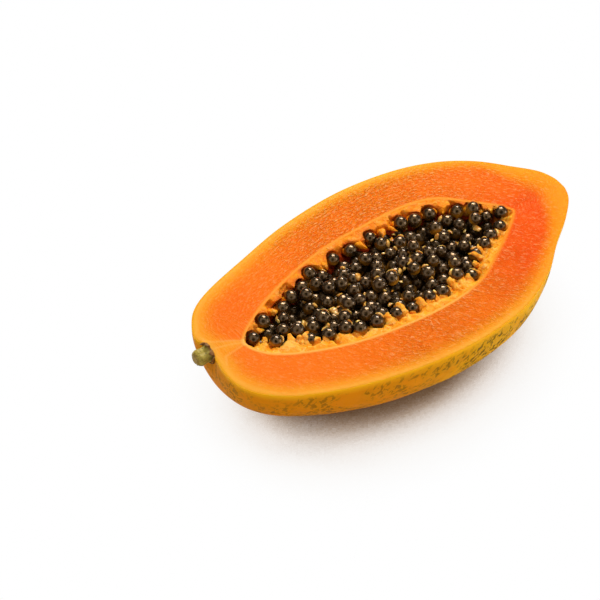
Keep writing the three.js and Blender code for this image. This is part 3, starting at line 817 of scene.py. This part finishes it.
def make_seeds(name, places, radii, turn_numbers, subdivisions, material):
    """Slightly long and uneven balls, each turned its own way, with painted light on one lower side, the glow
    of light through the jelly of the coat.
    """
    shape, faces = ball(subdivisions)
    tilt, spin = np.pi * repeatable(turn_numbers + 20000), np.pi * repeatable(turn_numbers + 25000)
    axis = np.stack([-np.sin(spin) * np.cos(tilt), np.cos(spin) * np.cos(tilt), np.sin(tilt)], 1)
    along = (shape @ axis.T).T[..., None]
    points = shape[None] + along * axis[:, None] * (SEED_LENGTH_SHARE - 1)
    each = turn_numbers[:, None, None]
    uneven = 1 + SEED_UNEVENNESS * noise(shape[None] + each * 3.7, 0.9, 2, 31)
    points = points * uneven[..., None] * radii[:, None, None] + places[:, None]
    # Painted light: the side, mostly below, where each seed gets the amber glow through its jelly.
    heading = 2 * np.pi * repeatable(turn_numbers + 32000)
    glow_side = unit(np.stack([0.7 * np.cos(heading), 0.7 * np.sin(heading), np.full(len(heading), -1.0)], 1))
    jelly = soft_step((shape @ glow_side.T).T + 0.15 * noise(shape[None] + each, 0.8), -0.2, 0.55)
    tint = np.repeat(repeatable(turn_numbers + 31000), len(shape))
    return make_piece(name, *joined(points, faces), [material], "seeds",
                      {"tint": tint, "jelly": jelly.ravel()})


# ---- Strands of pulp and shreds of membrane ----

TONGUE_SPACING = 4.4
TONGUES_MOST = 5
TONGUE_RINGS = 20
TONGUE_ROOT = 4.2
TONGUE_BEND = 2.5
TONGUE_LEVEL = -3.3
TONGUE_WIDTH = 1.1
TONGUE_WIDTH_SPREAD = 1.4
TONGUE_RAGGEDNESS = (0.7, 1.6, 3, 50)
# How much higher tongues stand on the near side, and how far in they can reach there and on the far side.
NEAR_TONGUE_RISE = 0.5
NEAR_TONGUE_REACH = 8.0
FAR_TONGUE_REACH = 4.6
CRUMBS = 110
CRUMB_FLATNESS = 0.55
SHREDDED_SHARE = 0.6
SHRED_RINGS = 13
SHRED_FLATNESS = 0.4
SHRED_RAGGEDNESS = (0.25, 1.2, 2, 70)


def make_tongues(places, radii):
    """Lumpy tongues of pulp between neighbouring seeds of the edge, wide where they leave the shelf and
    blunt at the tip, each bent its own way and stopped where it meets a seed."""
    steps = np.roll(EDGE_SEEDS, -1, axis=0) - EDGE_SEEDS
    spans = np.linalg.norm(steps, axis=1)
    each = np.clip(np.round(spans / TONGUE_SPACING), 1, TONGUES_MOST).astype(int)
    pair = np.repeat(np.arange(len(each)), each)
    turn = np.arange(len(pair)) - np.repeat(np.cumsum(each) - each, each)
    n = np.arange(len(pair)) + 40000
    between = (turn + 0.5 + jitter(n, 0.25)) / each[pair]
    gate = EDGE_SEEDS[pair] + steps[pair] * between[:, None]
    beside = steps[pair] / spans[pair, None]
    inward = np.stack([-beside[:, 1], beside[:, 0]], 1)
    near = gate[:, 1] < -4
    level = TONGUE_LEVEL + np.where(near, NEAR_TONGUE_RISE, 0) + 1.3 * repeatable(n + 1000)
    reach = 0.8 + np.where(near, NEAR_TONGUE_REACH, FAR_TONGUE_REACH) * repeatable(n + 2000) ** 1.2
    bend = jitter(n + 3000, TONGUE_BEND)

    def places_along(station):
        """Places on every tongue: -1 is deep in the shelf, 0 at the gate and 1 at the tip."""
        ahead = station * np.where(station < 0, TONGUE_ROOT, reach[:, None])
        aside = bend[:, None] * station.clip(0) ** 2
        lift = np.where(station < 0, 3.8 * station, 1.1 * np.sin(1.4 * station) - station ** 2)
        flat = gate[:, None] + inward[:, None] * ahead[..., None] + beside[:, None] * aside[..., None]
        return np.concatenate([flat, (level[:, None] + lift)[..., None]], axis=-1)

    share = np.linspace(0, 1, TONGUE_RINGS)
    station = np.broadcast_to(2 * share - 1, (len(n), TONGUE_RINGS))
    gaps = np.linalg.norm(places_along(station)[:, :, None] - places, axis=-1) - radii
    blocked = (gaps.min(axis=2) < 0.1) & (station > 0.1)
    stop = np.where(blocked.any(axis=1), blocked.argmax(axis=1), TONGUE_RINGS)
    station = -1 + 2 * share * ((stop - 1) / (TONGUE_RINGS - 1))[:, None]
    path = places_along(station)
    width = (TONGUE_WIDTH + TONGUE_WIDTH_SPREAD * repeatable(n + 4000) ** 1.3)[:, None]
    width = width * (1 + 0.5 * (-station).clip(0) - 0.5 * station.clip(0)) * np.sqrt(1.001 - share ** 3)
    width = width * (1 + 0.35 * noise(path, 2.0, 2, 41))
    points, quads = ragged_tubes(path, width, 16, TONGUE_RAGGEDNESS)
    # Painted highlight on the tongues' crests, mostly on the near side, and painted shade, darker red, lower
    # down.
    crest_highlight = (0.1 + 0.6 * soft_step(noise(points, 1.4, 2, 57), 0.0, 0.5)) * soft_step(-points[:, 1], -2, 6)
    make_piece("pulp_tongues", points, quads, [pulp], "flesh_and_skin",
               {"hollow_shade": 0.6 * soft_step(-points[:, 2], 3.0, 7), "crest_highlight": crest_highlight})


def make_crumbs(places, radii):
    """Small lumps of golden pulp caught between the seeds, flattened balls made uneven by noise."""
    n = np.arange(CRUMBS) + 70000
    x, y = -84 + 152 * repeatable(n), -30 + 56 * repeatable(n + 300)
    centres = np.stack([x, y, heap_height(x, y) - 0.6 - 2.2 * repeatable(n + 600)], 1)
    gap = (np.linalg.norm(centres[:, None] - places[None], axis=-1) - radii).min(axis=1)
    far, near = rim_at(x)
    kept = (gap > 0.1) & (y < far - 4) & (y > near + 5)
    n, centres = n[kept], centres[kept]
    shape, faces = ball(2)
    size = 0.55 + 1.5 * repeatable(n + 900) ** 3
    points = shape[None] * (1 + noise(shape[None] + n[:, None, None] * 1.3, 0.8, 2, 61))[..., None]
    heading = 2 * np.pi * repeatable(n + 1200)
    first = np.stack([np.cos(heading), np.sin(heading), 0.4 * np.sin(3 * heading)], 1)
    stretch = (points @ first[..., None]) * first[:, None]
    points = (points * [1, 1, CRUMB_FLATNESS] + stretch * 0.6) * size[:, None, None] + centres[:, None]
    make_piece("pulp_crumbs", *joined(points, faces), [membrane], "seeds")


def make_shreds(places, radii):
    """Golden shreds clinging to some seeds: ragged curved ribbons that follow a seed's side."""
    order = np.arange(len(places))
    against_wall = (order < len(EDGE_SEEDS)) & (places[:, 1] > 4)
    picked = np.nonzero((repeatable(order + 60000) < SHREDDED_SHARE) & ~against_wall)[0]
    n = picked[:, None] + 61000
    along = np.linspace(-0.5, 0.5, SHRED_RINGS)
    heading = np.radians(56 + jitter(n, 110) + (34 + 66 * repeatable(n + 200)) * along)
    slope = np.radians(36 + 42 * repeatable(n + 100)) + 0 * along
    outward = np.stack([np.sin(slope) * np.cos(heading), np.sin(slope) * np.sin(heading), np.cos(slope)], -1)
    centres = places[picked, None] + outward * (radii[picked, None, None] * 1.05 + 0.1)
    width = (0.6 + 1.8 * repeatable(n + 300) ** 1.2) * np.sqrt((1 - (2 * along) ** 2).clip(0.02))
    width = width * (1 + 0.5 * noise(centres, 1.1, 1, 73))
    points, quads = ragged_tubes(centres, width, 8, SHRED_RAGGEDNESS, SHRED_FLATNESS, outward)
    make_piece("seed_membranes", points, quads, [membrane], "seeds")


# ---- The stalk ----

STALK_RADIUS = 4.2
STALK_LENGTH = 8.0
STALK_CENTRE = np.array([-104.2, 5.5, -1.6])
STALK_SIDES = 72
STALK_RIDGES = 5
# Distance from the stalk's foot, share of its radius.
STALK_PROFILE = np.array([[0, 1.16], [1.2, 1.02], [3.5, 0.92], [6.2, 0.98], [7.4, 0.86], [8.0, 0.66]])
BARK_RINGS = 34
TORN_RINGS = 4
SCALES = 9
SCALE_FLATNESS = 0.22
SCALE_RAGGEDNESS = (0.25, 1.5, 1, 95)


def make_stalk():
    """A ridged stub with a flared corky foot and a torn end."""
    along = np.concatenate([np.linspace(0, STALK_LENGTH - 0.4, BARK_RINGS),
                            np.linspace(STALK_LENGTH - 0.3, STALK_LENGTH, TORN_RINGS)])
    angle = 2 * np.pi * np.arange(STALK_SIDES) / STALK_SIDES
    shares = np.interp(along, STALK_PROFILE[:, 0], STALK_PROFILE[:, 1])
    ridge = 1 + 0.07 * np.cos(STALK_RIDGES * angle)[None] + 0.02 * np.cos(11 * angle + 1)[None]
    radius = STALK_RADIUS * shares[:, None] * ridge
    points = np.stack([-np.broadcast_to(along[:, None], radius.shape), radius * np.cos(angle),
                       radius * np.sin(angle)], -1)
    cap_shares = np.array([0.8, 0.5, 0.2, 0.0])[:, None, None]
    cap = points[-1] * [1, 0, 0] + points[-1] * [0, 1, 1] * cap_shares
    points = np.concatenate([points[:1] * [1, 0, 0], points, cap])
    rough = noise(points, 2.0, 3, 80)
    points[..., 1:] *= 1 + 0.05 * rough[..., None]
    torn = len(cap) + TORN_RINGS
    points[1 - torn:, :, 0] += 0.5 * (rough[1 - torn:] - 0.6)
    dry = np.concatenate([[1.0], soft_step(-along, -1.8, -0.2), np.zeros(len(cap))])
    dry[-torn:] = 0.35
    quads = grid_quads(len(points), STALK_SIDES, loop=True)[:, ::-1]
    flat, quads, _, kept = weld([(points.reshape(-1, 3) + STALK_CENTRE, quads, 0)])
    piece = make_piece("papaya_stalk", flat, quads, [stalk_bark], "stalk",
                       {"dry": np.repeat(dry, STALK_SIDES)[kept]})
    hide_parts("stalk_stub")


def make_stalk_scales():
    """A collar of dry flower scales round the stalk's foot."""
    n = np.arange(SCALES) + 90000
    heading = 2 * np.pi * (np.arange(SCALES) + 0.5 * repeatable(n)) / SCALES
    outward = np.stack([0 * heading, np.cos(heading), np.sin(heading)], 1)
    run = np.linspace(0, 1, 8)
    length = 1.4 + 1.3 * repeatable(n + 50)
    centres = (STALK_CENTRE + outward[:, None] * (STALK_RADIUS * 1.12 + 0.9 * np.sin(run * 2.2))[:, None]
               + np.array([-1.0, 0, 0]) * run[:, None] * length[:, None, None])
    width = (1.1 + 0.7 * repeatable(n + 80))[:, None] * np.sqrt((1 - run ** 2).clip(0.01))
    points, quads = ragged_tubes(centres, width, 8, SCALE_RAGGEDNESS, SCALE_FLATNESS, outward[:, None])
    make_piece("stalk_scales", points, quads, [stalk_bark], "stalk", {"dry": np.full(len(points), 0.9)})


# ---- Floor, lamps and camera, in metres ----

FLOOR_SIZE = 12.0
SKY_REACH = 0.09
CAMERA_ELEVATION = math.radians(48.33)
CAMERA_AZIMUTH = math.radians(-34.13)
CAMERA_DISTANCE = 1.0
CAMERA_TARGET = Vector((-0.0416, 0.0303, 0.03097))
CAMERA_LENS_MM = 118.52


def make_floor():
    """A plain white floor. What the camera sees of it is a painted shadow: it glows white, with a soft
    brown ramp close to the fruit where less open sky reaches. Other rays meet a plain pale floor.
    """
    s = Shader("white_floor")
    s.set(Base_Color=linear("#DCD4CC"), Roughness=0.7, Specular_IOR_Level=0.1)
    # Painted shadow: how much open sky each place sees picks a colour from brown to white, which glows for
    # camera rays only.
    open_sky = s.add("AmbientOcclusion", {"samples": 16, "only_local": False}, Distance=SKY_REACH)
    painted_shade = s.ramp(open_sky.outputs["AO"], ((0.08, "#3F2C1E"), (0.29, "#583C24"), (0.355, "#A4896F"),
                                            (0.44, "#E8DED6"), (0.58, "#FAF8F6"), (0.75, "#FFFFFF")))
    painted_floor = s.add("Emission", Color=painted_shade)
    ray = s.add("LightPath").outputs["Is Camera Ray"]
    both = s.add("MixShader", in0=ray, in1=s.surface.outputs[0], in2=painted_floor.outputs[0])
    s.feed(s.output, Surface=both.outputs[0])
    bpy.ops.mesh.primitive_plane_add(size=FLOOR_SIZE)
    floor = bpy.context.object
    floor.name = "floor"
    floor.data.materials.append(s.material)


def aim(thing, place, target):
    """A lamp or a camera put at a place, looking at a target."""
    thing.location = place
    thing.rotation_euler = (Vector(target) - Vector(place)).to_track_quat("-Z", "Y").to_euler()
    bpy.context.collection.objects.link(thing)


def make_lamps():
    """A soft lamp above and behind, the bright spot on each wet seed, and a low window on the right that
    lights the skin under the blossom end."""
    for name, width, height, power, colour, place, target in (
            ("key", 0.56, 0.34, 11.0, (1.0, 0.98, 0.95), (0.424, 0.47, 0.81), (0, 0, 0.04)),
            ("window", 0.5, 0.5, 2.4, (1.0, 0.97, 0.92), (0.72, -0.56, 0.2), (0.05, -0.03, 0.03))):
        lamp = bpy.data.lights.new(name, "AREA")
        lamp.shape = "RECTANGLE"
        lamp.size, lamp.size_y = width, height
        lamp.energy = power
        lamp.color = colour
        aim(bpy.data.objects.new(name, lamp), place, target)


def make_room(view_from):
    """A pale room, dark only where the camera stands, which is the dark dot in the middle of each seed."""
    world = bpy.data.worlds.new("room")
    bpy.context.scene.world = world
    world.use_nodes = True
    room = Nodes(world.node_tree)
    direction = room.add("TexCoord").outputs["Generated"]
    facing = room.add("VectorMath", {"operation": "DOT_PRODUCT"}, in0=direction, in1=view_from)
    height = room.add("SeparateXYZ", Vector=direction)
    front = room.spread(facing.outputs["Value"], 0.3, 0.55, 0.14, 1.04)
    lens = room.spread(facing.outputs["Value"], 0.84, 0.93, 1.0, 0.04)
    low = room.spread(height.outputs["Z"], 0.0, 0.6, 0.8, 1.0)
    room.feed(room.tree.nodes["Background"], Color=(1.0, 0.95, 0.88, 1.0),
              Strength=room.times(front, lens, low))


def make_camera():
    """The camera, looking down from the near left. Returns the direction from the fruit to it."""
    level = math.cos(CAMERA_ELEVATION)
    back = Vector((math.sin(CAMERA_AZIMUTH) * level, -math.cos(CAMERA_AZIMUTH) * level,
                   math.sin(CAMERA_ELEVATION)))
    camera = bpy.data.cameras.new("camera")
    camera.lens = CAMERA_LENS_MM
    holder = bpy.data.objects.new("camera", camera)
    aim(holder, CAMERA_TARGET + back * CAMERA_DISTANCE, CAMERA_TARGET)
    bpy.context.scene.camera = holder
    return back


pulp = pulp_material()
stalk_bark = stalk_material()
membrane = membrane_material()
numbers, places, radii = seed_places()
lower_places = lower_seed_places()
lower_radii = np.full(len(lower_places), SEED_RADIUS)
lower_numbers = np.arange(len(lower_places)) + 5000
make_half_fruit(places, radii)
top = make_seeds("top_seeds", places, radii, numbers, 3, seed_material("seed_coat", 1.0, 1.74))
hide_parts("seed_mass")
# A darker copy of the seed material, with less film and a lower IOR, that stands in for the shade deep in the
# heap.
make_seeds("lower_seeds", lower_places, lower_radii, lower_numbers, 2,
           seed_material("shaded_seed_coat", 0.4, 1.42))
make_tongues(np.concatenate([places, lower_places]), np.concatenate([radii, lower_radii]))
make_shreds(places, radii)
make_crumbs(places, radii)
make_stalk()
make_stalk_scales()
make_floor()
make_lamps()
make_room(make_camera())
bpy.context.scene.view_settings.view_transform = "Standard"
